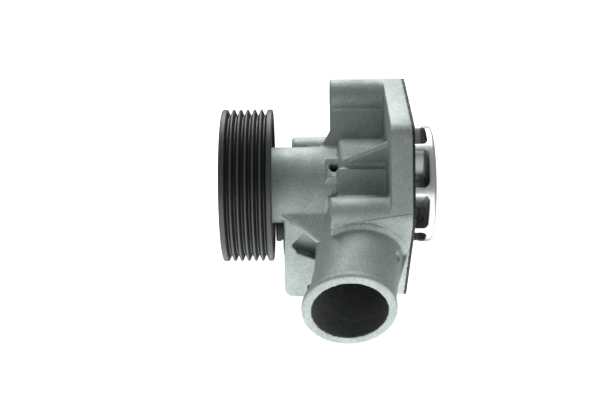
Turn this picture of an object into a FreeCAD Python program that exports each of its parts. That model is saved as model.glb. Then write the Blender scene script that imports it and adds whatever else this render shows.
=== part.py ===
# Automotive water pump: cast housing, poly-V pulley, integral shaft bearing, face seal and impeller.
# Frame: origin on the shaft axis at the housing's gasket face, +X along the shaft from the pulley
# towards the impeller, +Z up, the inlet nozzle pointing down and towards -Y. All sizes in millimetres.
import FreeCAD, Part
import math
import os

V = FreeCAD.Vector
ORIGIN = V(0, 0, 0)
X_AXIS = V(1, 0, 0)

# ---- driving dimensions ----
# mounting flange: corner circles as (y, z, radius), listed counter-clockwise from the top
FLANGE_THICKNESS = 10.2
TOP_BOLT = (0.0, 46.4)
BOTTOM_BOLT = (0.0, -46.4)
NEAR_BOLT = (-42.5, -15.0)
FAR_BOLT = (42.5, -15.0)
FAR_UPPER_BOLT = (42.5, 20.2)
NEAR_CORNER = (-42.5, 21.0)
CORNER_RADIUS = 8.0
BOTTOM_CORNER_RADIUS = 10.5
BOLT_HOLE_RADIUS = 4.25
BOSS_FACE_X = -38.4
TOP_BOSS_FACE_X = -37.2
FAR_BOSS_FACE_X = -57.5
FAR_BOSS_RADIUS = 7.2
GASKET_THICKNESS = 1.0

# bearing neck and seal hub
NECK_RADIUS = 19.5
NECK_FRONT_X = -80.0
HUB_RADIUS = 24.2
HUB_FRONT_X = -33.6
BEARING_RADIUS = 15.0
BEARING_FRONT_X = -79.5
BEARING_REAR_X = -40.5
WEEP_X = -36.1
WEEP_ANGLE = 157.0
WEEP_RADIUS = 2.3
LEAK_DRILL_RADIUS = 2.0
SEAL_BORE_RADIUS = 18.25
SEAL_FRONT_X = -31.0
SUCTION_FRONT_X = -25.0
SUCTION_RADIUS = 19.5
WEAR_WALL = 4.0
EYE_RADIUS = 20.0

# inlet nozzle
NOZZLE_END = V(-30.75, -62.8, -58.5)
NOZZLE_ELEVATION = math.radians(38.7)
NOZZLE_LEAN = math.radians(10.0)
NOZZLE_RADIUS = 20.1
NOZZLE_LENGTH = 72.0
BEAD_RADIUS = 21.95
BEAD_LENGTH = 4.0
INLET_RADIUS = 17.15
INLET_STRAIGHT = 12.0
INLET_STEP = 0.3
INLET_THROAT_RADIUS = 14.6
INLET_THROAT = 44.5

# leak chamber and its plug
LEAK_CENTRE = (24.0, -20.0)
LEAK_RADIUS = 8.0
LEAK_FACE_X = -62.1
PLUG_HEAD_RADIUS = 10.0

# shaft, pulley and impeller
SHAFT_RADIUS = 7.96
SHAFT_REAR_RADIUS = 6.0
SHAFT_STEP_X = -9.3
PULLEY_FRONT_X = -92.1
PULLEY_WIDTH = 25.6
PULLEY_RADIUS = 39.0
PULLEY_INNER_RADIUS = 34.0
GROOVE_COUNT = 6
GROOVE_PITCH = 3.56
GROOVE_DEPTH = 2.85
IMPELLER_RADIUS = 29.7
IMPELLER_BACK_X = 13.9
IMPELLER_DISC = 3.6
IMPELLER_VANE_FRONT_X = 1.6
IMPELLER_HUB_RADIUS = 11.0
IMPELLER_EYE_RADIUS = 20.6
VANE_COUNT = 8
VANE_FIRST_ANGLE = 139.0

# rolling elements of the integral bearing
BALL_X = -70.0
BALL_RADIUS = 2.75
BALL_COUNT = 8
BALL_PITCH_RADIUS = 10.0
RACE_RADIUS = 2.85
RING_INNER_RADIUS = 12.0
ROLLER_FRONT_X = -56.0
ROLLER_LENGTH = 9.0
ROLLER_RADIUS = 1.95
ROLLER_COUNT = 10
ROLLER_PITCH_RADIUS = 9.98
CAGE_INNER_RADIUS = 9.1
CAGE_OUTER_RADIUS = 10.9


# ---- basic solids, all about or along the shaft's direction ----
def disc(radius, x0, x1, centre=(0.0, 0.0)):
    return Part.makeCylinder(radius, x1 - x0, V(x0, centre[0], centre[1]), X_AXIS)


def ring(outer, inner, x0, x1, centre=(0.0, 0.0)):
    return disc(outer, x0, x1, centre).cut(disc(inner, x0 - 1, x1 + 1, centre))


def turned(profile):
    """Solid turned about the shaft axis from a closed (x, radius) outline."""
    points = [V(x, 0, r) for x, r in profile]
    face = Part.Face(Part.makePolygon(points + points[:1]))
    return face.revolve(ORIGIN, X_AXIS, 360)


def prism_x(outline, x0, x1):
    points = [V(x0, y, z) for y, z in outline]
    return Part.Face(Part.makePolygon(points + points[:1])).extrude(V(x1 - x0, 0, 0))


def prism_y(outline, y0, y1):
    points = [V(x, y0, z) for x, z in outline]
    return Part.Face(Part.makePolygon(points + points[:1])).extrude(V(0, y1 - y0, 0))


def prism_z(outline, z0, z1):
    points = [V(x, y, z0) for x, y in outline]
    return Part.Face(Part.makePolygon(points + points[:1])).extrude(V(0, 0, z1 - z0))


def polar(radius, degrees, x=0.0):
    angle = math.radians(degrees)
    return V(x, radius * math.cos(angle), radius * math.sin(angle))


def turned_about_shaft(shape, degrees):
    copy = shape.copy()
    copy.rotate(ORIGIN, X_AXIS, degrees)
    return copy


def belt_outline(circles, x0, x1):
    """Prism whose outline is a band drawn tight round (y, z, radius) circles, counter-clockwise."""
    normals = []
    for index, (y, z, r) in enumerate(circles):
        y2, z2, r2 = circles[(index + 1) % len(circles)]
        heading = math.atan2(z2 - z, y2 - y)
        normals.append(heading - math.acos((r - r2) / math.hypot(y2 - y, z2 - z)))
    edges = []
    for index, (y, z, r) in enumerate(circles):
        start, end = normals[index - 1], normals[index]
        if end < start:
            end += 2 * math.pi
        y2, z2, r2 = circles[(index + 1) % len(circles)]

        def on_circle(angle):
            return V(x0, y + r * math.cos(angle), z + r * math.sin(angle))

        edges.append(Part.Arc(on_circle(start), on_circle((start + end) / 2), on_circle(end)).toShape())
        tangent_end = V(x0, y2 + r2 * math.cos(end), z2 + r2 * math.sin(end))
        edges.append(Part.LineSegment(on_circle(end), tangent_end).toShape())
    return Part.Face(Part.Wire(edges)).extrude(V(x1 - x0, 0, 0))


def web(start, end, half_thickness, x0, x1):
    """Flat wall with round ends between two (y, z) points, running along the shaft's direction."""
    return belt_outline([(*start, half_thickness), (*end, half_thickness)], x0, x1)


def with_rounded_front(shape, front_x, radius):
    """The shape with the circular edges of its front face rounded."""
    edges = [edge for edge in shape.Edges
             if abs(edge.BoundBox.XMin - front_x) < 0.01 and abs(edge.BoundBox.XMax - front_x) < 0.01]
    return shape.makeFillet(radius, edges)


# ---- housing casting ----
def flange_circles(inset=0.0):
    radius = CORNER_RADIUS - inset
    return [(*TOP_BOLT, radius), (*NEAR_CORNER, radius), (*NEAR_BOLT, radius),
            (*BOTTOM_BOLT, BOTTOM_CORNER_RADIUS - inset), (*FAR_BOLT, radius), (*FAR_UPPER_BOLT, radius)]


NOZZLE_IN = V(math.sin(NOZZLE_LEAN),
              math.cos(NOZZLE_LEAN) * math.cos(NOZZLE_ELEVATION),
              math.cos(NOZZLE_LEAN) * math.sin(NOZZLE_ELEVATION))
NOZZLE_UP = V(0, -math.sin(NOZZLE_ELEVATION), math.cos(NOZZLE_ELEVATION))
NOZZLE_FACE_OUT = V(0, -math.cos(NOZZLE_ELEVATION), -math.sin(NOZZLE_ELEVATION))


def nozzle_point(depth):
    """Point on the nozzle's axis at a depth behind its machined end."""
    return NOZZLE_END + NOZZLE_IN * depth


def nozzle_cylinder(radius, start, end):
    return Part.makeCylinder(radius, end - start, nozzle_point(start), NOZZLE_IN)


def lower_body(inset=0.0, front_x=BOSS_FACE_X, rear_x=-FLANGE_THICKNESS + 1):
    """Cast wall between the near and bottom bolt bosses, flush with the flange's edge."""
    radius = CORNER_RADIUS - inset
    circles = [(*NEAR_BOLT, radius), (*BOTTOM_BOLT, BOTTOM_CORNER_RADIUS - inset), (0, -12, 6)]
    return belt_outline(circles, front_x, rear_x)


def flange_and_lower_body():
    """Flange plate and lower wall, with a raised lip and a narrow groove where the nozzle enters them."""
    lip_height, lip_width, groove_width, groove_depth = 1.3, 2.6, 0.6, 1.8
    lip = lower_body(-lip_height, rear_x=-1.5).common(nozzle_cylinder(NOZZLE_RADIUS + lip_width, 0, 62))
    groove = nozzle_cylinder(NOZZLE_RADIUS + groove_width, 0, 60)
    flange = belt_outline(flange_circles(), -FLANGE_THICKNESS, 0)
    grooved = flange.fuse([lower_body(), lip]).cut(groove)
    flange_core = belt_outline(flange_circles(groove_depth), -FLANGE_THICKNESS, 0)
    return [grooved, flange_core, lower_body(groove_depth, BOSS_FACE_X + groove_depth)]


def nozzle_outside():
    """Cast tube with a rolled hose bead and the stepped ledge of its lower mould half."""
    beyond_end = Part.makeCylinder(60, 40, NOZZLE_END, NOZZLE_FACE_OUT)
    above_near_boss = Part.makeBox(60, 60, 30, V(-60, -85.2, -9))
    tube = nozzle_cylinder(NOZZLE_RADIUS, -4, NOZZLE_LENGTH).cut([beyond_end, above_near_boss])
    bead = Part.makeCylinder(BEAD_RADIUS, BEAD_LENGTH, NOZZLE_END, NOZZLE_FACE_OUT * -1)
    bead = bead.makeFillet(1.1, [edge for edge in bead.Edges if edge.Curve.TypeId == "Part::GeomCircle"])
    ledge_start, ledge_end, ledge_height = 22.0, 45.0, 2.4
    ledge = Part.makeCone(NOZZLE_RADIUS, NOZZLE_RADIUS + ledge_height, ledge_end - ledge_start,
                          nozzle_point(ledge_start), NOZZLE_IN)
    lower_half = Part.makeCylinder(80, 60, nozzle_point(ledge_start), NOZZLE_UP * -1)
    return [tube, bead, ledge.common(lower_half)]


def bolt_bosses():
    top = disc(CORNER_RADIUS, TOP_BOSS_FACE_X, -1, TOP_BOLT)
    near = disc(CORNER_RADIUS - 0.2, BOSS_FACE_X, -1, NEAR_BOLT)
    bottom = disc(CORNER_RADIUS, BOSS_FACE_X, -1, BOTTOM_BOLT)
    far = [with_rounded_front(disc(FAR_BOSS_RADIUS, FAR_BOSS_FACE_X, -1, centre), FAR_BOSS_FACE_X, 2.0)
           for centre in (FAR_UPPER_BOLT, FAR_BOLT)]
    return [top, near, bottom] + far


def top_web():
    """Flat wall from the top boss down to the bearing neck, with a sloped front edge."""
    outline = [(TOP_BOSS_FACE_X, 46), (TOP_BOSS_FACE_X, 27.8), (-44.0, 16.5), (-44.0, 8), (-5, 8), (-5, 46)]
    return prism_y(outline, -2.6, 2.6)


def far_webs():
    webs = [web((0, 0), centre, 4.0, FAR_BOSS_FACE_X + 9, -5) for centre in (FAR_UPPER_BOLT, FAR_BOLT)]
    return webs + [web(FAR_UPPER_BOLT, FAR_BOLT, 3.0, FAR_BOSS_FACE_X + 22, -5)]


def corner_rib():
    """Thin radial gusset from the seal hub to the flange's near upper corner."""
    plate = prism_y([(-32.8, 18), (-32.4, 22.8), (-31.4, 24.3), (-9, 43.2), (-9, 18)], -1.3, 1.3)
    return turned_about_shaft(plate, 62.6)


def weep_pad():
    """Flat pad round the weep hole with a small drip ledge along its lower edge."""
    pad = Part.makeBox(7.0, 11.0, 8.0, V(-39.6, -5.5, 13.4))
    ledge = prism_y([(-41.0, 18.5), (-36.0, 22.6), (-32.5, 22.6), (-32.5, 18.5)], -6.4, -4.9)
    return [turned_about_shaft(part, WEEP_ANGLE - 90) for part in (pad, ledge)]


def leak_block():
    """Leak chamber casting below the neck: sloping near side, scooped pocket, round plug face."""
    front_x = -61.4
    side = [(-4, -12), (-8.6, -18), (15.5, -59.4), (27, -59.6), (38, -45), (42, -22), (30, -5), (0, -5)]
    block = prism_x(side, front_x, -5)
    low_front_edge = [edge for edge in block.Edges if abs(edge.BoundBox.XMax - front_x) < 0.01
                      and edge.BoundBox.ZMax < -59]
    block = block.makeFillet(4.5, low_front_edge)
    plug_face = disc(17.0, LEAK_FACE_X, -50, LEAK_CENTRE)
    pocket_outline = [(-57.6, -31.0), (-54.2, -35.3), (-38, -41.5), (-38, -24), (-50, -24)]
    pocket_depth = [(-40, -22), (-6.6, -22), (18, -38), (18, -44), (-40, -44)]
    pocket = prism_y(pocket_outline, -40, 40).common(prism_x(pocket_depth, -60, -36))
    notch = Part.makeBox(5.5, 18.0, 3.2, V(-49.6, 0, -55.8))
    return [block.cut([pocket, notch]), plug_face]


def neck_gusset():
    """Triangular gusset from the underside of the neck to the nozzle."""
    outline = [(-63.0, -14.7), (-42.9, -31.0), (-36, -36), (-36, -5), (-63, -5)]
    near_y = -13.3
    plate = prism_y(outline, near_y, 0)
    below_neck = [edge for edge in plate.Edges if abs(edge.BoundBox.YMax - near_y) < 0.01
                  and edge.BoundBox.XMax - edge.BoundBox.XMin > 18
                  and edge.BoundBox.ZMax - edge.BoundBox.ZMin > 10]
    return plate.makeFillet(1.6, below_neck)


def hub_and_neck():
    neck = disc(NECK_RADIUS, NECK_FRONT_X, HUB_FRONT_X + 5)
    neck = with_rounded_front(neck, NECK_FRONT_X, 1.0)
    hub = with_rounded_front(disc(HUB_RADIUS, HUB_FRONT_X, -5), HUB_FRONT_X, 3.0)
    seal_boss = Part.makeBox(29.0, 22.0, 20.2, V(-34.2, -25.2, -13.0))
    return [neck, hub, seal_boss]


def inner_passages():
    """Everything machined or cored out of the casting."""
    bores = [disc(BEARING_RADIUS, NECK_FRONT_X - 1, BEARING_REAR_X),
             disc(BEARING_RADIUS - 2, BEARING_REAR_X - 1, SEAL_FRONT_X + 1),
             disc(SEAL_BORE_RADIUS, SEAL_FRONT_X, SUCTION_FRONT_X + 1),
             disc(SUCTION_RADIUS, SUCTION_FRONT_X, -WEAR_WALL + 1),
             disc(EYE_RADIUS, -WEAR_WALL, 1)]
    holes = [disc(BOLT_HOLE_RADIUS, -70, 1, centre)
             for centre in (TOP_BOLT, BOTTOM_BOLT, NEAR_BOLT, FAR_BOLT, FAR_UPPER_BOLT)]
    weep = Part.makeCylinder(WEEP_RADIUS, 20, polar(10, WEEP_ANGLE, WEEP_X), polar(1, WEEP_ANGLE))
    leak_cavity = disc(LEAK_RADIUS, LEAK_FACE_X - 1, -34, LEAK_CENTRE)
    leak_drill = Part.makeCylinder(LEAK_DRILL_RADIUS, 20, V(WEEP_X, 8.4, -7.0), V(0, *LEAK_CENTRE))
    core_mark = Part.makeBox(2.6, 8.0, 3.8, V(-8.1, -50.0, -36.6))
    return bores + holes + [weep, leak_cavity, leak_drill, core_mark] + inlet_passage()


def inlet_passage():
    """Nozzle bore: straight hose end, tapered core, then the throat into the suction chamber."""
    straight = nozzle_cylinder(INLET_RADIUS, -5, INLET_STRAIGHT)
    taper = Part.makeCone(INLET_RADIUS - INLET_STEP, INLET_THROAT_RADIUS, INLET_THROAT - INLET_STRAIGHT,
                          nozzle_point(INLET_STRAIGHT), NOZZLE_IN)
    throat = nozzle_cylinder(INLET_THROAT_RADIUS, INLET_THROAT, NOZZLE_LENGTH - 2)
    chamber_span = Part.makeBox(-WEAR_WALL - SUCTION_FRONT_X, 200, 200, V(SUCTION_FRONT_X, -100, -100))
    return [straight, taper, throat.common(chamber_span)]


def make_housing():
    solids = (flange_and_lower_body() + nozzle_outside() + bolt_bosses() + [top_web()] + far_webs()
              + [corner_rib()] + weep_pad() + leak_block() + [neck_gusset()] + hub_and_neck())
    casting = solids[0].multiFuse(solids[1:])
    beyond_gasket_face = disc(90, 0, 30)
    beyond_nozzle_end = Part.makeCylinder(60, 40, NOZZLE_END, NOZZLE_FACE_OUT)
    casting = casting.cut([beyond_gasket_face, beyond_nozzle_end] + inner_passages())
    return casting.removeSplitter()


def make_leak_plug():
    head = disc(PLUG_HEAD_RADIUS, LEAK_FACE_X - 3.9, LEAK_FACE_X - 1.2, LEAK_CENTRE)
    head = with_rounded_front(head, LEAK_FACE_X - 3.9, 0.8)
    collar = disc(PLUG_HEAD_RADIUS - 0.7, LEAK_FACE_X - 1.2, LEAK_FACE_X, LEAK_CENTRE)
    stem = disc(LEAK_RADIUS, LEAK_FACE_X, LEAK_FACE_X + 7, LEAK_CENTRE)
    socket = disc(LEAK_RADIUS - 2, LEAK_FACE_X + 1, LEAK_FACE_X + 8, LEAK_CENTRE)
    return head.fuse([collar, stem]).cut(socket).removeSplitter()


def make_gasket():
    plate = belt_outline(flange_circles(), 0, GASKET_THICKNESS)
    holes = [disc(BOLT_HOLE_RADIUS + 0.4, -1, 3, centre)
             for centre in (TOP_BOLT, BOTTOM_BOLT, NEAR_BOLT, FAR_BOLT, FAR_UPPER_BOLT)]
    return plate.cut([disc(IMPELLER_RADIUS + 1.4, -1, 3)] + holes)


# ---- integral shaft bearing ----
def race(pitch_radius, section_radius):
    """Ring of round section centred on the ball row."""
    return Part.makeTorus(pitch_radius, section_radius, V(BALL_X, 0, 0), X_AXIS)


def make_bearing_outer_ring():
    chamfer = 0.8
    body = turned([(BEARING_FRONT_X, RING_INNER_RADIUS), (BEARING_FRONT_X, BEARING_RADIUS - chamfer),
                   (BEARING_FRONT_X + chamfer, BEARING_RADIUS), (BEARING_REAR_X - chamfer, BEARING_RADIUS),
                   (BEARING_REAR_X, BEARING_RADIUS - chamfer), (BEARING_REAR_X, RING_INNER_RADIUS)])
    return body.cut(race(BALL_PITCH_RADIUS, RACE_RADIUS))


def ball_centres():
    return [polar(BALL_PITCH_RADIUS, 360.0 * index / BALL_COUNT, BALL_X) for index in range(BALL_COUNT)]


def make_bearing_balls():
    return Part.makeCompound([Part.makeSphere(BALL_RADIUS, centre) for centre in ball_centres()])


def make_ball_cage():
    band = ring(CAGE_OUTER_RADIUS, CAGE_INNER_RADIUS, BALL_X - 3.4, BALL_X + 3.4)
    return band.cut([Part.makeSphere(BALL_RADIUS + 0.07, centre) for centre in ball_centres()])


def roller(radius, clearance=0.0):
    centres = [polar(ROLLER_PITCH_RADIUS, 360.0 * index / ROLLER_COUNT) for index in range(ROLLER_COUNT)]
    return [disc(radius, ROLLER_FRONT_X - clearance, ROLLER_FRONT_X + ROLLER_LENGTH + clearance,
                 (centre.y, centre.z)) for centre in centres]


def make_bearing_rollers():
    return Part.makeCompound(roller(ROLLER_RADIUS))


def make_roller_cage():
    band = ring(CAGE_OUTER_RADIUS, CAGE_INNER_RADIUS, ROLLER_FRONT_X - 2, ROLLER_FRONT_X + ROLLER_LENGTH + 2)
    return band.cut(roller(ROLLER_RADIUS + 0.07, 0.15))


def make_bearing_seal(front_x):
    lip = SHAFT_RADIUS + 0.05
    return turned([(front_x, lip + 0.6), (front_x, RING_INNER_RADIUS), (front_x + 1.6, RING_INNER_RADIUS),
                   (front_x + 1.6, lip + 1.4), (front_x + 1.0, lip), (front_x + 0.6, lip)])


# ---- rotating group ----
def make_shaft():
    front_x, rear_x, chamfer = PULLEY_FRONT_X - 0.6, IMPELLER_BACK_X + 1.0, 0.8
    body = turned([(front_x, 0), (front_x, SHAFT_RADIUS - chamfer), (front_x + chamfer, SHAFT_RADIUS),
                   (SHAFT_STEP_X, SHAFT_RADIUS), (SHAFT_STEP_X, SHAFT_REAR_RADIUS),
                   (rear_x - chamfer, SHAFT_REAR_RADIUS), (rear_x, SHAFT_REAR_RADIUS - chamfer), (rear_x, 0)])
    centre_hole = Part.makeCone(2.2, 0.3, 3.3, V(front_x, 0, 0), X_AXIS)
    rear_hole = Part.makeCone(0.3, 1.8, 2.6, V(rear_x - 2.6, 0, 0), X_AXIS)
    return body.cut([race(BALL_PITCH_RADIUS, RACE_RADIUS), centre_hole, rear_hole])


def groove_profile():
    """Outline points of the poly-V grooves, from the front of the rim to the back."""
    margin = (PULLEY_WIDTH - (GROOVE_COUNT - 1) * GROOVE_PITCH) / 2
    half_mouth, half_root = 1.32, 0.28
    points = []
    for index in range(GROOVE_COUNT):
        x = PULLEY_FRONT_X + margin + index * GROOVE_PITCH
        root = PULLEY_RADIUS - GROOVE_DEPTH
        points += [(x - half_mouth, PULLEY_RADIUS), (x - half_root, root),
                   (x + half_root, root), (x + half_mouth, PULLEY_RADIUS)]
    return points


def make_pulley():
    front, rear, chamfer = PULLEY_FRONT_X, PULLEY_FRONT_X + PULLEY_WIDTH, 0.8
    face = [(front, SHAFT_RADIUS), (front, 14), (front + 2, 16), (front + 2, 31), (front, 33.5),
            (front, PULLEY_RADIUS - chamfer), (front + chamfer, PULLEY_RADIUS)]
    cup = [(rear - chamfer, PULLEY_RADIUS), (rear, PULLEY_RADIUS - chamfer), (rear, PULLEY_INNER_RADIUS + 0.4),
           (rear - 0.4, PULLEY_INNER_RADIUS), (front + 7.0, PULLEY_INNER_RADIUS),
           (front + 5.5, PULLEY_INNER_RADIUS - 1.5), (front + 5.5, 15), (front + 8, 13),
           (front + 8, SHAFT_RADIUS)]
    return turned(face + groove_profile() + cup)


def make_slinger():
    return turned([(-39.2, SHAFT_RADIUS), (-39.2, 9.4), (-38.4, 11.6), (-37.6, 11.6), (-37.9, 9.4),
                   (-37.2, SHAFT_RADIUS)])


def vane_passage(first_angle):
    """Space between two backward-curved vanes, open at the front and at the rim."""
    half_post, outer_radius, middle_radius, sweep, middle_sweep = 3.75, 31.5, 26.2, 29.0, 11.5
    pitch = 360.0 / VANE_COUNT

    def wall(side):
        start = first_angle + side
        return [polar(outer_radius, start, IMPELLER_VANE_FRONT_X - 1),
                polar(middle_radius, start + middle_sweep, IMPELLER_VANE_FRONT_X - 1),
                polar(IMPELLER_EYE_RADIUS, start + sweep, IMPELLER_VANE_FRONT_X - 1)]

    low = wall(half_post)
    high = wall(pitch - half_post)
    mid_angle = first_angle + pitch / 2
    edges = [Part.Arc(low[0], low[1], low[2]).toShape(),
             Part.LineSegment(low[2], high[2]).toShape(),
             Part.Arc(high[2], high[1], high[0]).toShape(),
             Part.Arc(high[0], polar(outer_radius, mid_angle, IMPELLER_VANE_FRONT_X - 1), low[0]).toShape()]
    depth = IMPELLER_BACK_X - IMPELLER_DISC - IMPELLER_VANE_FRONT_X + 1
    tool = Part.Face(Part.Wire(edges)).extrude(V(depth, 0, 0))
    floor_x = IMPELLER_BACK_X - IMPELLER_DISC
    floor_edges = [edge for edge in tool.Edges if abs(edge.BoundBox.XMin - floor_x) < 0.01
                   and edge.BoundBox.XMax - edge.BoundBox.XMin < 0.01]
    side_edges = [edge for edge in floor_edges if edge.Length > 12 and abs(edge.Length - floor_edges[0].Length) < 9]
    return tool, side_edges


def make_impeller():
    back = IMPELLER_BACK_X
    disc_front = back - IMPELLER_DISC
    body = turned([(IMPELLER_VANE_FRONT_X, SHAFT_REAR_RADIUS), (IMPELLER_VANE_FRONT_X, IMPELLER_RADIUS),
                   (back - 1.2, IMPELLER_RADIUS), (back - 0.35, IMPELLER_RADIUS - 0.35),
                   (back, IMPELLER_RADIUS - 1.2), (back, 12.5), (back - 0.8, 11.5), (back - 0.8, SHAFT_REAR_RADIUS)])
    eye = ring(IMPELLER_EYE_RADIUS, IMPELLER_HUB_RADIUS, IMPELLER_VANE_FRONT_X - 1, disc_front)
    hub = ring(IMPELLER_HUB_RADIUS, SHAFT_REAR_RADIUS, SHAFT_STEP_X, IMPELLER_VANE_FRONT_X + 1)
    passages = []
    for index in range(VANE_COUNT):
        tool, side_edges = vane_passage(VANE_FIRST_ANGLE + index * 360.0 / VANE_COUNT)
        passages.append(tool.makeFillet(2.6, side_edges))
    return body.cut([eye] + passages).fuse(hub).removeSplitter()


# ---- face seal ----
def make_seal_shell():
    rear_x, wall = -24.2, 0.8
    return turned([(SEAL_FRONT_X, 11), (SEAL_FRONT_X, SEAL_BORE_RADIUS), (SUCTION_FRONT_X, SEAL_BORE_RADIUS),
                   (SUCTION_FRONT_X, 19.2), (rear_x, 19.2), (rear_x, SEAL_BORE_RADIUS - wall),
                   (SEAL_FRONT_X + wall, SEAL_BORE_RADIUS - wall), (SEAL_FRONT_X + wall, 11)])


def make_seal_bellows():
    return turned([(-30.2, 10.6), (-30.2, 13.8), (-28.9, 13.8), (-28.2, 12.2), (-25.4, 12.0), (-24.8, 13.4),
                   (-23.8, 13.4), (-23.2, 12.0), (-21.2, 12.2), (-21.0, 14.2), (-17.0, 14.2), (-17.0, 13.0),
                   (-19.6, 13.0), (-19.6, 9.6), (-21.0, 9.6), (-22.6, 10.6)])


def make_seal_spring():
    """Coil spring swept along short arcs that follow a helix round the shaft."""
    wire_radius, coil_radius, front_x, height, turns, arcs_per_turn = 0.8, 15.3, -29.3, 9.0, 3.5, 6

    def on_helix(turn):
        return polar(coil_radius, 360 * turn, front_x + height * turn / turns)

    count = int(turns * arcs_per_turn)
    arcs = [Part.Arc(on_helix(index / arcs_per_turn), on_helix((index + 0.5) / arcs_per_turn),
                     on_helix((index + 1) / arcs_per_turn)).toShape() for index in range(count)]
    start_direction = V(height / turns, 0, 2 * math.pi * coil_radius)
    section = Part.Wire(Part.makeCircle(wire_radius, on_helix(0), start_direction))
    return Part.Wire(arcs).makePipeShell([section], True, False)


def make_spring_seat():
    return turned([(-19.5, 14.2), (-19.5, 16.8), (-18.8, 16.8), (-18.8, 14.9), (-17.0, 14.9), (-17.0, 14.2)])


def make_carbon_ring():
    return turned([(-19.6, 8.6), (-19.6, 13.0), (-16.2, 13.0), (-16.2, 11.8), (-15.05, 11.8),
                   (-15.05, 9.6), (-16.2, 9.6), (-16.2, 8.6)])


def make_ceramic_seat():
    return ring(13.5, 9.0, -15.0, -10.5)


def make_seat_boot():
    return turned([(-15.0, SHAFT_RADIUS), (-15.0, 9.0), (-10.5, 9.0), (-10.5, 13.5), (SHAFT_STEP_X, 13.5),
                   (SHAFT_STEP_X, SHAFT_RADIUS)])


NODES = {
    "housing": make_housing,
    "leak_plug": make_leak_plug,
    "gasket": make_gasket,
    "bearing_outer_ring": make_bearing_outer_ring,
    "bearing_balls": make_bearing_balls,
    "ball_cage": make_ball_cage,
    "bearing_rollers": make_bearing_rollers,
    "roller_cage": make_roller_cage,
    "bearing_front_seal": lambda: make_bearing_seal(BEARING_FRONT_X + 0.5),
    "bearing_rear_seal": lambda: make_bearing_seal(BEARING_REAR_X - 2.1),
    "shaft": make_shaft,
    "pulley": make_pulley,
    "slinger": make_slinger,
    "impeller": make_impeller,
    "seal_shell": make_seal_shell,
    "seal_bellows": make_seal_bellows,
    "seal_spring": make_seal_spring,
    "spring_seat": make_spring_seat,
    "carbon_ring": make_carbon_ring,
    "ceramic_seat": make_ceramic_seat,
    "seat_boot": make_seat_boot,
}

os.makedirs("parts", exist_ok=True)
for name, make in NODES.items():
    shape = make()
    shape.exportStep("parts/" + name + ".step")
    box = shape.BoundBox
    print(f"{name:20s} valid {shape.isValid()} solids {len(shape.Solids)} volume {shape.Volume:9.1f} "
          f"x {box.XMin:7.2f} {box.XMax:7.2f} y {box.YMin:7.2f} {box.YMax:7.2f} z {box.ZMin:7.2f} {box.ZMax:7.2f}")
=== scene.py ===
import math
import bmesh
import bpy
from mathutils import Matrix, Vector


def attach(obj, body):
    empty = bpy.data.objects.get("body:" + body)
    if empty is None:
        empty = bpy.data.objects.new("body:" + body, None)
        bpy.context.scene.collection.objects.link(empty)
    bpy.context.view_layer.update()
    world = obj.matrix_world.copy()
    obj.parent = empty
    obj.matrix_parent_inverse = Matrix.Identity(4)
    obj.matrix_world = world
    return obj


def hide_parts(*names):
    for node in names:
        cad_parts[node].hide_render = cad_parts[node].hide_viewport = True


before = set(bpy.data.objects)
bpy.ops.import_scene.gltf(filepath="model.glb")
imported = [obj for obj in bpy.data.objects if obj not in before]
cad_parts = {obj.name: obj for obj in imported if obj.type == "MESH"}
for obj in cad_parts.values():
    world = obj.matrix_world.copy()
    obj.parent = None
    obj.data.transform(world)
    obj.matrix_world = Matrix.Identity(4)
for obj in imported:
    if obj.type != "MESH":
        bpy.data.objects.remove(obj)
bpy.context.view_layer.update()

scene = bpy.context.scene

# ---- Camera ----
# A product camera level with the shaft, looking at the pump from its hose-nozzle side.
# It is turned a fraction of a degree, as a hand-placed camera is.
CAMERA_PLACE = (-0.051, -0.500, -0.0078)
CAMERA_YAW, CAMERA_ROLL = 0.004, -0.009
camera_data = bpy.data.cameras.new("camera")
camera_data.lens = 58.04
camera_data.sensor_width = 36.0
camera_data.clip_start = 0.01
camera = bpy.data.objects.new("camera", camera_data)
scene.collection.objects.link(camera)
camera.matrix_world = (Matrix.Translation(CAMERA_PLACE) @ Matrix.Rotation(CAMERA_YAW, 4, "Z")
                       @ Matrix.Rotation(math.pi / 2, 4, "X") @ Matrix.Rotation(CAMERA_ROLL, 4, "Z"))
scene.camera = camera

# ---- Housing ----
# One blasted aluminium casting: flange with five bolt bosses, bearing neck, hose nozzle and leak chamber.
# Its edges are rounded as they come from the mould. Only the gasket face and the boss faces are machined
# bright.
# The water passage behind the hose end is painted dark, a painted shade.
MM = 0.001
CAST_CELL = 0.00072
CAST_ROUNDING = 3
CAST_TRIANGLES = 190000
# Each bolt boss: its face's x, its centre's y and z, and the radius of the cut face, in mm.
BOLT_BOSSES = [(-37.2, 0.0, 46.4, 7.6), (-38.4, 0.0, -46.4, 7.6), (-38.4, -42.5, -15.0, 7.6),
               (-57.5, 42.5, -15.0, 6.4), (-57.5, 42.5, 20.2, 6.4)]
NOZZLE_MOUTH = Vector((-30.75, -62.8, -58.5)) * MM
NOZZLE_AXIS = Vector((0.1736, 0.7686, 0.6157)).normalized()
MOUTH_INWARD = Vector((0.0, 0.7804, 0.6252)).normalized()
HOSE_BORE_RADIUS = 17.5 * MM
PASSAGE_START, PASSAGE_END = 0.3 * MM, 62 * MM
SPLIT_LINE_BEND = (-22.8, -17.8)
SPLIT_LINE_SLOPES = (1.22, 0.141)
SEAM_CORE, SEAM_EDGE = 0.08 * MM, 0.36 * MM
SEAM_SIDE = (-36 * MM, -34 * MM)
SEAM_START = (-25.4 * MM, -24.8 * MM)
SEAM_STRENGTH = 0.6
SEAM_SHADOW_COLOUR = (0.06, 0.07, 0.07)
CUT_FROM_X, CUT_BAND = -0.25 * MM, 0.35 * MM
MACHINED_COLOUR = (0.68, 0.69, 0.69)
MACHINED_SMOOTHING = 0.26
BLASTED_METALLIC, MACHINED_METALLIC = 0.45, 0.85


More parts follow.
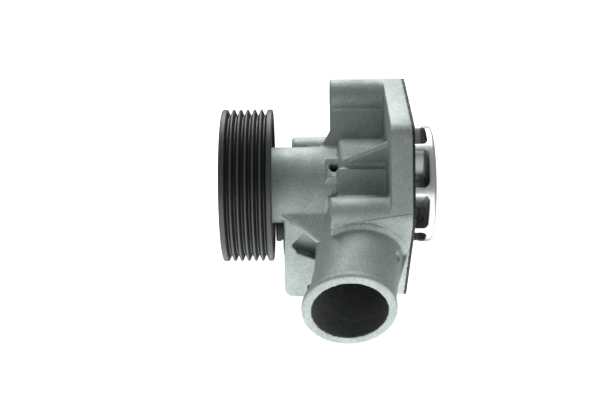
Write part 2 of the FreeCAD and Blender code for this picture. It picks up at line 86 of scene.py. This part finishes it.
def merged_copy(node):
    """A CAD node's mesh as one joined skin."""
    skin = bmesh.new()
    skin.from_mesh(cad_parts[node].data)
    bmesh.ops.remove_doubles(skin, verts=skin.verts, dist=1e-6)
    return skin


def finished_mesh(name, shape):
    """A worked shape written to a new mesh."""
    mesh = bpy.data.meshes.new(name)
    shape.to_mesh(mesh)
    shape.free()
    return mesh


def evaluated_mesh(item):
    """The object's mesh with its modifiers carried out."""
    return bpy.data.meshes.new_from_object(item.evaluated_get(bpy.context.evaluated_depsgraph_get()))


def cast_skin(name, solid, cell, rounding, triangles):
    """Even small faces over the solid, edges rounded over, then thinned to the wanted number of triangles."""
    raw = bpy.data.objects.new(name + "_raw", finished_mesh(name + "_raw", solid))
    scene.collection.objects.link(raw)
    even = raw.modifiers.new("even", "REMESH")
    even.mode = "VOXEL"
    even.voxel_size = cell
    rounded = raw.modifiers.new("rounded", "SMOOTH")
    rounded.factor = 0.5
    rounded.iterations = rounding
    skin = evaluated_mesh(raw)
    count = sum(len(face.vertices) - 2 for face in skin.polygons)
    if count > triangles:
        raw.modifiers.new("thinned", "DECIMATE").ratio = triangles / count
        skin = evaluated_mesh(raw)
    bpy.data.objects.remove(raw)
    skin.name = name
    return skin


def place(name, mesh, materials, body, nodes):
    """Links a finished mesh, which rides on its body in place of the CAD nodes it stands for."""
    piece = bpy.data.objects.new(name, mesh)
    scene.collection.objects.link(piece)
    for material in materials:
        mesh.materials.append(material)
    mesh.shade_smooth()
    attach(piece, body)
    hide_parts(*nodes)


def new_group(name, inputs, outputs):
    """An empty shader group with float inputs (name, default) and float outputs."""
    group = bpy.data.node_groups.new(name, "ShaderNodeTree")
    for label, value in inputs:
        socket = group.interface.new_socket(name=label, in_out="INPUT", socket_type="NodeSocketFloat")
        socket.default_value = value
    for label in outputs:
        group.interface.new_socket(name=label, in_out="OUTPUT", socket_type="NodeSocketFloat")
    return group, group.nodes.new("NodeGroupInput"), group.nodes.new("NodeGroupOutput")


def add_math(tree, operation, first, second):
    """A Math node whose two inputs are each a socket or a number."""
    node = tree.nodes.new("ShaderNodeMath")
    node.operation = operation
    for socket, value in zip(node.inputs, (first, second)):
        if isinstance(value, (int, float)):
            socket.default_value = value
        else:
            tree.links.new(value, socket)
    return node.outputs[0]


def add_reach(tree, across, up):
    """The distance of the point (across, up) from zero."""
    squares = add_math(tree, "ADD", add_math(tree, "MULTIPLY", across, across),
                       add_math(tree, "MULTIPLY", up, up))
    return add_math(tree, "SQRT", squares, 0.0)


def split_position(tree):
    """The object coordinates as separate X, Y and Z sockets."""
    split = tree.nodes.new("ShaderNodeSeparateXYZ")
    tree.links.new(tree.nodes.new("ShaderNodeTexCoord").outputs["Object"], split.inputs[0])
    return split.outputs


def add_noise(tree, vector, scale, detail, roughness):
    """A noise texture whose scale comes from a socket."""
    node = tree.nodes.new("ShaderNodeTexNoise")
    node.inputs["Detail"].default_value = detail
    node.inputs["Roughness"].default_value = roughness
    tree.links.new(vector, node.inputs["Vector"])
    tree.links.new(scale, node.inputs["Scale"])
    return node.outputs["Fac"]


# Blasted or moulded grain: a fine pitted height, a mottle for colour and slow blotches for roughness.
COARSE_SCALE, COARSE_HEIGHT = 0.38, 0.8
PIT_SHARE, COARSE_SHARE = 0.72, 0.28
grain_group, group_in, group_out = new_group(
    "surface_grain", [("Pits per metre", 1500.0), ("Blotches per metre", 90.0)],
    ["Mottle", "Blotch", "Height"])
position = grain_group.nodes.new("ShaderNodeTexCoord").outputs["Object"]
pits = add_noise(grain_group, position, group_in.outputs["Pits per metre"], 3.0, 0.6)
coarse_scale = add_math(grain_group, "MULTIPLY", group_in.outputs["Pits per metre"], COARSE_SCALE)
coarse = add_noise(grain_group, position, coarse_scale, 2.0, 0.5)
blotch = add_noise(grain_group, position, group_in.outputs["Blotches per metre"], 3.0, 0.55)
mottle = add_math(grain_group, "ADD", add_math(grain_group, "MULTIPLY", pits, PIT_SHARE),
                  add_math(grain_group, "MULTIPLY", coarse, COARSE_SHARE))
height = add_math(grain_group, "ADD", pits, add_math(grain_group, "MULTIPLY", coarse, COARSE_HEIGHT))
grain_group.links.new(mottle, group_out.inputs["Mottle"])
grain_group.links.new(blotch, group_out.inputs["Blotch"])
grain_group.links.new(height, group_out.inputs["Height"])

# Tool marks left by turning or facing round the shaft: rings that change with radius and along the axis.
turned_group, group_in, group_out = new_group(
    "turned_marks", [("Marks per metre", 2600.0)], ["Mark", "Radius"])
position = split_position(turned_group)
radius = add_reach(turned_group, position["Y"], position["Z"])
along = turned_group.nodes.new("ShaderNodeCombineXYZ")
turned_group.links.new(position["X"], along.inputs["X"])
turned_group.links.new(radius, along.inputs["Y"])
marks = add_noise(turned_group, along.outputs[0], group_in.outputs["Marks per metre"], 2.0, 0.6)
turned_group.links.new(marks, group_out.inputs["Mark"])
turned_group.links.new(radius, group_out.inputs["Radius"])


def mix_colours(tree, mask, low, high):
    """A Mix node between two colours, each a socket or an RGB triple."""
    node = tree.nodes.new("ShaderNodeMix")
    node.data_type = "RGBA"
    tree.links.new(mask, node.inputs["Factor"])
    for socket, colour in ((node.inputs["A"], low), (node.inputs["B"], high)):
        if isinstance(colour, tuple):
            socket.default_value = (*colour, 1.0)
        else:
            tree.links.new(colour, socket)
    return node.outputs["Result"]


def ranged(tree, value, from_low, from_high, to_low, to_high):
    """The value moved from one range to another, held at the ends."""
    node = tree.nodes.new("ShaderNodeMapRange")
    tree.links.new(value, node.inputs["Value"])
    numbers = {"From Min": from_low, "From Max": from_high, "To Min": to_low, "To Max": to_high}
    for label, number in numbers.items():
        node.inputs[label].default_value = number
    return node.outputs["Result"]


def add_bump(tree, surface, height, distance, strength):
    """Fine relief on a surface: its height pattern, its depth in metres and how strongly it shows."""
    bump = tree.nodes.new("ShaderNodeBump")
    bump.inputs["Distance"].default_value = distance
    bump.inputs["Strength"].default_value = strength
    tree.links.new(height, bump.inputs["Height"])
    tree.links.new(bump.outputs["Normal"], surface.inputs["Normal"])


def new_finish(name, metallic=0.0):
    """A material with its node tree and its Principled BSDF."""
    material = bpy.data.materials.new(name)
    material.use_nodes = True
    surface = material.node_tree.nodes["Principled BSDF"]
    surface.inputs["Metallic"].default_value = metallic
    return material, material.node_tree, surface


def put_group(tree, group, inputs):
    """A shader group placed in a material, with its named inputs set."""
    node = tree.nodes.new("ShaderNodeGroup")
    node.node_tree = group
    for label, value in inputs.items():
        node.inputs[label].default_value = value
    return node


COLOUR_BAND, SHEEN_BAND, BLOTCH_BAND = (0.35, 0.65), (0.3, 0.7), (0.35, 0.75)
BLOTCH_SHADE, BLOTCH_STRENGTH = 0.55, 0.22
RING_SHARE, BLOTCH_SHARE, RING_STRENGTH = 0.7, 0.3, 0.5


def grained(name, low, high, metallic, roughness, pits, depth, strength, blotches=90.0):
    """A blasted, cast or moulded finish from the grain group, between two colours."""
    material, tree, surface = new_finish(name, metallic)
    grain = put_group(tree, grain_group, {"Pits per metre": pits, "Blotches per metre": blotches})
    fine_mask = ranged(tree, grain.outputs["Mottle"], *COLOUR_BAND, 0.0, 1.0)
    colour = mix_colours(tree, fine_mask, low, high)
    blotch_mask = ranged(tree, grain.outputs["Blotch"], *BLOTCH_BAND, 0.0, BLOTCH_STRENGTH)
    shaded = tuple(BLOTCH_SHADE * channel for channel in low)
    colour = mix_colours(tree, blotch_mask, colour, shaded)
    tree.links.new(colour, surface.inputs["Base Color"])
    sheen = ranged(tree, grain.outputs["Blotch"], *SHEEN_BAND, *roughness)
    tree.links.new(sheen, surface.inputs["Roughness"])
    add_bump(tree, surface, grain.outputs["Height"], depth, strength)
    return material


def turned(name, low, high, metallic, roughness, marks=2600.0, depth=0.00003):
    """A turned, ground or drawn metal finish with rings round the shaft axis."""
    material, tree, surface = new_finish(name, metallic)
    rings = put_group(tree, turned_group, {"Marks per metre": marks})
    grain = put_group(tree, grain_group, {"Pits per metre": 900.0, "Blotches per metre": 140.0})
    both = add_math(tree, "ADD", add_math(tree, "MULTIPLY", rings.outputs["Mark"], RING_SHARE),
                    add_math(tree, "MULTIPLY", grain.outputs["Blotch"], BLOTCH_SHARE))
    tree.links.new(mix_colours(tree, ranged(tree, both, *COLOUR_BAND, 0.0, 1.0), low, high),
                   surface.inputs["Base Color"])
    sheen = ranged(tree, grain.outputs["Mottle"], *SHEEN_BAND, *roughness)
    tree.links.new(sheen, surface.inputs["Roughness"])
    add_bump(tree, surface, rings.outputs["Mark"], depth, RING_STRENGTH)
    return material


cast_aluminium = grained("blasted_aluminium", low=(0.30, 0.342, 0.327), high=(0.53, 0.595, 0.57),
                         metallic=BLASTED_METALLIC, roughness=(0.50, 0.68), pits=2000.0, depth=0.00016,
                         strength=0.75, blotches=70.0)
# Painted shade: a dark finish for the faces inside the hose passage, where little light reaches.
painted_shade_passage = grained("painted_shade_passage", low=(0.060, 0.064, 0.064), high=(0.115, 0.121, 0.120),
                          metallic=0.2, roughness=(0.55, 0.75), pits=900.0, depth=0.00015,
                          strength=0.6, blotches=60.0)


def paint_split_line_shadow(material):
    """The seam where the mould halves met, on the casting's near side, as a fine painted shadow line."""
    tree = material.node_tree
    surface = tree.nodes["Principled BSDF"]
    position = split_position(tree)
    bend_x, bend_z = SPLIT_LINE_BEND[0] * MM, SPLIT_LINE_BEND[1] * MM
    steep, gentle = (add_math(tree, "ADD", add_math(tree, "MULTIPLY", position["X"], slope),
                              bend_z - slope * bend_x) for slope in SPLIT_LINE_SLOPES)
    line_height = add_math(tree, "MINIMUM", steep, gentle)
    away = add_math(tree, "ABSOLUTE", add_math(tree, "SUBTRACT", position["Z"], line_height), 0.0)
    seam = ranged(tree, away, SEAM_CORE, SEAM_EDGE, 1.0, 0.0)
    near_side = ranged(tree, position["Y"], *SEAM_SIDE, 1.0, 0.0)
    started = ranged(tree, position["X"], *SEAM_START, 0.0, SEAM_STRENGTH)
    seam = add_math(tree, "MULTIPLY", seam, add_math(tree, "MULTIPLY", near_side, started))
    # Painted shadow: the seam is coloured dark along its line.
    plain_colour = surface.inputs["Base Color"].links[0].from_socket
    tree.links.new(mix_colours(tree, seam, plain_colour, SEAM_SHADOW_COLOUR), surface.inputs["Base Color"])


# A spot face cut round a bolt hole: 1 inside the cutter's circle at the boss face, 0 elsewhere.
spot_group, group_in, group_out = new_group(
    "spot_face", [("Face X", 0.0), ("Centre Y", 0.0), ("Centre Z", 0.0), ("Cutter radius", 0.0076)], ["Cut"])
position = split_position(spot_group)
off_x, off_y, off_z = (add_math(spot_group, "SUBTRACT", position[axis], group_in.outputs[centre])
                       for axis, centre in (("X", "Face X"), ("Y", "Centre Y"), ("Z", "Centre Z")))
from_centre = add_reach(spot_group, off_y, off_z)
inside = add_math(spot_group, "LESS_THAN", from_centre, group_in.outputs["Cutter radius"])
off_face = add_math(spot_group, "ABSOLUTE", off_x, 0.0)
cut = add_math(spot_group, "MULTIPLY", inside, add_math(spot_group, "LESS_THAN", off_face, CUT_BAND))
spot_group.links.new(cut, group_out.inputs["Cut"])


def machine_faces(material):
    """Bright cut metal on the five boss faces and the whole gasket face."""
    tree = material.node_tree
    surface = tree.nodes["Principled BSDF"]
    cut = add_math(tree, "GREATER_THAN", split_position(tree)["X"], CUT_FROM_X)
    for face_x, centre_y, centre_z, cutter in BOLT_BOSSES:
        spot = put_group(tree, spot_group, {"Face X": face_x * MM, "Centre Y": centre_y * MM,
                                            "Centre Z": centre_z * MM, "Cutter radius": cutter * MM})
        cut = add_math(tree, "MAXIMUM", cut, spot.outputs["Cut"])
    blasted_colour = surface.inputs["Base Color"].links[0].from_socket
    tree.links.new(mix_colours(tree, cut, blasted_colour, MACHINED_COLOUR), surface.inputs["Base Color"])
    metal = ranged(tree, cut, 0.0, 1.0, BLASTED_METALLIC, MACHINED_METALLIC)
    tree.links.new(metal, surface.inputs["Metallic"])
    blasted_roughness = surface.inputs["Roughness"].links[0].from_socket
    smoothing = add_math(tree, "MULTIPLY", cut, MACHINED_SMOOTHING)
    tree.links.new(add_math(tree, "SUBTRACT", blasted_roughness, smoothing), surface.inputs["Roughness"])


paint_split_line_shadow(cast_aluminium)
machine_faces(cast_aluminium)
housing_mesh = cast_skin("housing_casting", merged_copy("housing"), CAST_CELL, CAST_ROUNDING, CAST_TRIANGLES)
# Faces inside the hose passage take the painted shade finish.
for face in housing_mesh.polygons:
    along_nozzle = (face.center - NOZZLE_MOUTH).dot(NOZZLE_AXIS)
    from_axis = (face.center - NOZZLE_MOUTH - NOZZLE_AXIS * along_nozzle).length
    depth = (face.center - NOZZLE_MOUTH).dot(MOUTH_INWARD)
    face.material_index = int(from_axis < HOSE_BORE_RADIUS and PASSAGE_START < depth < PASSAGE_END)
place("housing_casting", housing_mesh, [cast_aluminium, painted_shade_passage], "housing_group",
      ["housing"])

# ---- Leak chamber plug ----
# A moulded plastic cap pressed into the leak chamber's drilling on the far side of the neck.
# It has the slight satin of an unpainted moulding.


def finish_node(node, material):
    """Gives a carried-over CAD node its finish."""
    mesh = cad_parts[node].data
    mesh.materials.clear()
    mesh.materials.append(material)


moulded_black = grained("moulded_black", low=(0.012, 0.012, 0.013), high=(0.024, 0.024, 0.025), metallic=0.0,
                        roughness=(0.38, 0.55), pits=2600.0, depth=0.00004, strength=0.35)
finish_node("leak_plug", moulded_black)

# ---- Gasket ----
# A sheet-steel gasket coated in black rubber, clamped on the machined face of the flange.
# Its coating is matt with a faint grey bloom.
coated_gasket = grained("coated_gasket", low=(0.010, 0.010, 0.011), high=(0.030, 0.031, 0.032), metallic=0.0,
                        roughness=(0.55, 0.75), pits=1800.0, depth=0.00005, strength=0.4, blotches=160.0)
finish_node("gasket", coated_gasket)

# ---- Bearing ----
# A sealed ball-and-roller bearing pressed into the neck: ground steel ring, balls at the pulley end,
# rollers behind them, both in moulded cages, and a rubber lip seal at each end.
ground_steel = turned("ground_steel", low=(0.48, 0.48, 0.49), high=(0.62, 0.62, 0.63), metallic=1.0,
                      roughness=(0.16, 0.26), marks=3800.0)
polished_steel = grained("polished_steel", low=(0.62, 0.62, 0.63), high=(0.70, 0.70, 0.71), metallic=1.0,
                         roughness=(0.06, 0.12), pits=3000.0, depth=0.00001, strength=0.2)
cage_plastic = grained("cage_plastic", low=(0.30, 0.21, 0.10), high=(0.42, 0.30, 0.16), metallic=0.0,
                       roughness=(0.40, 0.55), pits=2000.0, depth=0.00004, strength=0.3)
seal_rubber = grained("seal_rubber", low=(0.012, 0.012, 0.013), high=(0.028, 0.028, 0.029), metallic=0.0,
                      roughness=(0.50, 0.66), pits=2200.0, depth=0.00005, strength=0.35)
finish_node("bearing_outer_ring", ground_steel)
finish_node("bearing_balls", polished_steel)
finish_node("bearing_rollers", polished_steel)
finish_node("ball_cage", cage_plastic)
finish_node("roller_cage", cage_plastic)
finish_node("bearing_front_seal", seal_rubber)
finish_node("bearing_rear_seal", seal_rubber)
finish_node("shaft", ground_steel)

# ---- Slinger ----
# A small moulded rubber ring on the shaft that throws leaked water into the leak chamber.
# It is the same matt rubber as the bearing's lip seals.
finish_node("slinger", seal_rubber)

# ---- Shaft face seal ----
# A drawn brass cup holding a rubber bellows, a wire spring and its seat, and a carbon face ring that runs
# on a white ceramic seat in a rubber boot.
drawn_brass = turned("drawn_brass", low=(0.50, 0.36, 0.13), high=(0.68, 0.50, 0.21), metallic=1.0,
                     roughness=(0.22, 0.38))
carbon = grained("carbon", low=(0.018, 0.018, 0.020), high=(0.040, 0.040, 0.042), metallic=0.0,
                 roughness=(0.30, 0.42), pits=3000.0, depth=0.00002, strength=0.3)
ceramic = grained("ceramic", low=(0.74, 0.73, 0.69), high=(0.82, 0.81, 0.78), metallic=0.0,
                  roughness=(0.18, 0.28), pits=2400.0, depth=0.00001, strength=0.2)
finish_node("seal_shell", drawn_brass)
finish_node("seal_bellows", seal_rubber)
finish_node("seal_spring", polished_steel)
finish_node("spring_seat", drawn_brass)
finish_node("carbon_ring", carbon)
finish_node("ceramic_seat", ceramic)
finish_node("seat_boot", seal_rubber)

# ---- Belt pulley ----
# A turned steel pulley with six V grooves, dipped in thin black coating and pressed on the shaft.
# Along the crests the coating is painted lighter grey and a little metallic, a painted highlight.
PULLEY_FRONT, PULLEY_REAR = -92.1, -66.5
PULLEY_RADIUS, PULLEY_BORE_RADIUS, PULLEY_INNER_RADIUS = 39.0, 7.96, 34.0
GROOVE_COUNT, GROOVE_PITCH, GROOVE_DEPTH = 6, 3.56, 2.85
GROOVE_TOP_HALF, GROOVE_FLOOR_HALF = 1.38, 0.24
HUB_FACE_RADIUS, RIM_FACE_RADIUS = 14.0, 33.5
RECESS_RADII, RECESS_DEPTH = (16.0, 31.0), 2
WEB_THICKNESS, WEB_CHAMFER = 5.5, 1.5
HUB_ROOT_RADIUS, HUB_END_RADIUS, HUB_LENGTH = 15.0, 13.0, 8
RIM_ROUND, CREST_ROUND, EDGE_ROUND = 0.8, 0.25, 0.5
PULLEY_STEPS = 144
HIGHLIGHT_FROM, HIGHLIGHT_FULLY = 0.55, 0.05
HIGHLIGHT_METALLIC = 0.2
COAT_DARK, COAT_LIGHT, COAT_HIGHLIGHT = (0.014, 0.016, 0.016), (0.027, 0.029, 0.029), (0.075, 0.079, 0.080)


def turn_profile(points, roundings, steps):
    """A closed outline of (x, radius) in mm, its corners rounded, spun round the shaft axis."""
    outline = bmesh.new()
    corners = [outline.verts.new((x * MM, 0.0, r * MM)) for x, r in points]
    for first, second in zip(corners, corners[1:] + corners[:1]):
        outline.edges.new((first, second))
    for radius, chosen in roundings:
        picked = [corners[index] for index in chosen]
        bmesh.ops.bevel(outline, geom=picked, offset=radius * MM, offset_type="OFFSET", segments=3,
                        profile=0.5, affect="VERTICES", material=-1)
    bmesh.ops.spin(outline, geom=outline.verts[:] + outline.edges[:], cent=(0, 0, 0), axis=(1, 0, 0),
                   angle=2 * math.pi, steps=steps, use_merge=True, use_duplicate=False)
    bmesh.ops.remove_doubles(outline, verts=outline.verts, dist=1e-6)
    bmesh.ops.recalc_face_normals(outline, faces=outline.faces)
    return outline


groove_margin = (PULLEY_REAR - PULLEY_FRONT - (GROOVE_COUNT - 1) * GROOVE_PITCH) / 2
recess_floor = PULLEY_FRONT + RECESS_DEPTH
pulley_points = [(PULLEY_FRONT, PULLEY_BORE_RADIUS), (PULLEY_FRONT, HUB_FACE_RADIUS),
                 (recess_floor, RECESS_RADII[0]), (recess_floor, RECESS_RADII[1]),
                 (PULLEY_FRONT, RIM_FACE_RADIUS), (PULLEY_FRONT, PULLEY_RADIUS)]
first_groove = len(pulley_points)
for index in range(GROOVE_COUNT):
    middle = PULLEY_FRONT + groove_margin + index * GROOVE_PITCH
    pulley_points += [(middle - GROOVE_TOP_HALF, PULLEY_RADIUS),
                      (middle - GROOVE_FLOOR_HALF, PULLEY_RADIUS - GROOVE_DEPTH),
                      (middle + GROOVE_FLOOR_HALF, PULLEY_RADIUS - GROOVE_DEPTH),
                      (middle + GROOVE_TOP_HALF, PULLEY_RADIUS)]
rear_corner = len(pulley_points)
web_rear, hub_rear = PULLEY_FRONT + WEB_THICKNESS, PULLEY_FRONT + HUB_LENGTH
pulley_points += [(PULLEY_REAR, PULLEY_RADIUS), (PULLEY_REAR, PULLEY_INNER_RADIUS),
                  (PULLEY_FRONT + (WEB_THICKNESS + WEB_CHAMFER), PULLEY_INNER_RADIUS),
                  (web_rear, PULLEY_INNER_RADIUS - WEB_CHAMFER), (web_rear, HUB_ROOT_RADIUS),
                  (hub_rear, HUB_END_RADIUS), (hub_rear, PULLEY_BORE_RADIUS)]
rim_corners = [first_groove - 1, rear_corner]
crest_corners = [first_groove + 4 * index + side for index in range(GROOVE_COUNT) for side in (0, 3)]
plain_corners = [*range(1, first_groove - 1), *range(rear_corner + 1, len(pulley_points) - 1)]
roundings = [(RIM_ROUND, rim_corners), (CREST_ROUND, crest_corners), (EDGE_ROUND, plain_corners)]
pulley_mesh = finished_mesh("belt_pulley", turn_profile(pulley_points, roundings, PULLEY_STEPS))

black_coating, tree, surface = new_finish("black_coating")
rings = put_group(tree, turned_group, {"Marks per metre": 1400.0})
grain = put_group(tree, grain_group, {"Pits per metre": 1100.0, "Blotches per metre": 120.0})
# Painted highlight: the crests are coloured lighter grey than the rest of the coating.
crest = ranged(tree, rings.outputs["Radius"], (PULLEY_RADIUS - HIGHLIGHT_FROM) * MM,
               (PULLEY_RADIUS - HIGHLIGHT_FULLY) * MM, 0.0, 1.0)
broken = ranged(tree, grain.outputs["Mottle"], 0.30, 0.55, 0.35, 1.0)
crest_highlight = add_math(tree, "MULTIPLY", crest, broken)
coat = mix_colours(tree, ranged(tree, grain.outputs["Blotch"], *SHEEN_BAND, 0.0, 1.0), COAT_DARK, COAT_LIGHT)
tree.links.new(mix_colours(tree, crest_highlight, coat, COAT_HIGHLIGHT), surface.inputs["Base Color"])
tree.links.new(add_math(tree, "MULTIPLY", crest_highlight, HIGHLIGHT_METALLIC), surface.inputs["Metallic"])
tree.links.new(ranged(tree, grain.outputs["Mottle"], *SHEEN_BAND, 0.34, 0.50), surface.inputs["Roughness"])
add_bump(tree, surface, rings.outputs["Mark"], distance=0.00004, strength=0.4)
place("belt_pulley", pulley_mesh, [black_coating], "rotor", ["pulley"])
pulley_mesh.set_sharp_from_angle(angle=math.radians(32))

# ---- Impeller ----
# A light aluminium casting with eight backward-curved vanes, pressed on the end of the shaft.
# Its rim is turned bright; inside it keeps its cast skin, painted darker as a painted shade of the vane
# passages.
IMPELLER_CELL = 0.00040
IMPELLER_ROUNDING = 2
IMPELLER_TRIANGLES = 170000
TURNED_FROM_RADIUS, TURNED_FADE = 28.3, 0.5
PASSAGE_SHADE_COLOUR = (0.34, 0.36, 0.35)
bright_cast = turned("bright_cast_aluminium", low=(0.66, 0.67, 0.68), high=(0.84, 0.85, 0.86), metallic=0.75,
                     roughness=(0.26, 0.33), marks=1500.0, depth=0.00004)
tree = bright_cast.node_tree
surface = tree.nodes["Principled BSDF"]
position = split_position(tree)
from_shaft = add_reach(tree, position["Y"], position["Z"])
# Painted shade: inside the turned rim the colour is darkened for the vane passages.
passage_shade = ranged(tree, from_shaft, TURNED_FROM_RADIUS * MM, (TURNED_FROM_RADIUS + TURNED_FADE) * MM, 1.0, 0.0)
turned_colour = surface.inputs["Base Color"].links[0].from_socket
tree.links.new(mix_colours(tree, passage_shade, turned_colour, PASSAGE_SHADE_COLOUR), surface.inputs["Base Color"])
impeller_mesh = cast_skin("impeller_casting", merged_copy("impeller"), IMPELLER_CELL, IMPELLER_ROUNDING,
                          IMPELLER_TRIANGLES)
place("impeller_casting", impeller_mesh, [bright_cast], "rotor", ["impeller"])

# ---- Studio ----
# A lit white table with a white wall behind, a large soft light above and a small one at the table's face.
# The table and the wall look white, yet give the pump only part of that light. From below the table is clear.
FLOOR_HEIGHT, FLOOR_SIZE = -0.0785, 3.0
FLOOR_GREY, FLOOR_ROUGHNESS = (0.30, 0.30, 0.30, 1.0), 0.9
ROOM_COLOUR = (0.97, 1.0, 0.99, 1.0)
TABLE_GIVEN, TABLE_SEEN = 0.05, 1.2
ROOM_GIVEN, ROOM_SEEN = 0.25, 1.6


def seen_strength(tree, given, seen):
    """A light's strength: one for what it gives the pump and another for how bright it looks."""
    ray = tree.nodes.new("ShaderNodeLightPath")
    return ranged(tree, ray.outputs["Is Camera Ray"], 0.0, 1.0, given, seen)


floor_shape = bmesh.new()
bmesh.ops.create_grid(floor_shape, x_segments=2, y_segments=2, size=FLOOR_SIZE)
bmesh.ops.translate(floor_shape, verts=floor_shape.verts, vec=(0, 0, FLOOR_HEIGHT))
floor_mesh = finished_mesh("light_table", floor_shape)
floor = bpy.data.objects.new("light_table", floor_mesh)
scene.collection.objects.link(floor)
table_white, tree, surface = new_finish("table_white")
surface.inputs["Base Color"].default_value = FLOOR_GREY
surface.inputs["Roughness"].default_value = FLOOR_ROUGHNESS
surface.inputs["Emission Color"].default_value = (1.0, 1.0, 1.0, 1.0)
tree.links.new(seen_strength(tree, TABLE_GIVEN, TABLE_SEEN), surface.inputs["Emission Strength"])
from_below = tree.nodes.new("ShaderNodeMixShader")
tree.links.new(tree.nodes.new("ShaderNodeNewGeometry").outputs["Backfacing"], from_below.inputs["Fac"])
tree.links.new(surface.outputs["BSDF"], from_below.inputs[1])
tree.links.new(tree.nodes.new("ShaderNodeBsdfTransparent").outputs["BSDF"], from_below.inputs[2])
tree.links.new(from_below.outputs["Shader"], tree.nodes["Material Output"].inputs["Surface"])
floor_mesh.materials.append(table_white)

world = bpy.data.worlds.new("studio")
scene.world = world
world.use_nodes = True
tree = world.node_tree
background = tree.nodes["Background"]
background.inputs["Color"].default_value = ROOM_COLOUR
tree.links.new(seen_strength(tree, ROOM_GIVEN, ROOM_SEEN), background.inputs["Strength"])


def soft_light(name, place_at, aim, size, power):
    """A square soft box that lights the pump but isn't seen itself."""
    lamp = bpy.data.lights.new(name, "AREA")
    lamp.size = size
    lamp.energy = power
    holder = bpy.data.objects.new(name, lamp)
    holder.visible_camera = False
    scene.collection.objects.link(holder)
    holder.matrix_world = (Matrix.Translation(place_at)
                           @ (Vector(place_at) - Vector(aim)).to_track_quat("Z", "Y").to_matrix().to_4x4())


soft_light("overhead", place_at=(-0.04, 0.16, 0.50), aim=(-0.04, 0.0, 0.0), size=0.5, power=3.0)
soft_light("table_glow", place_at=(-0.04, -0.08, -0.078), aim=(-0.04, -0.08, 0.0), size=0.26, power=0.34)
scene.view_settings.view_transform = "Standard"
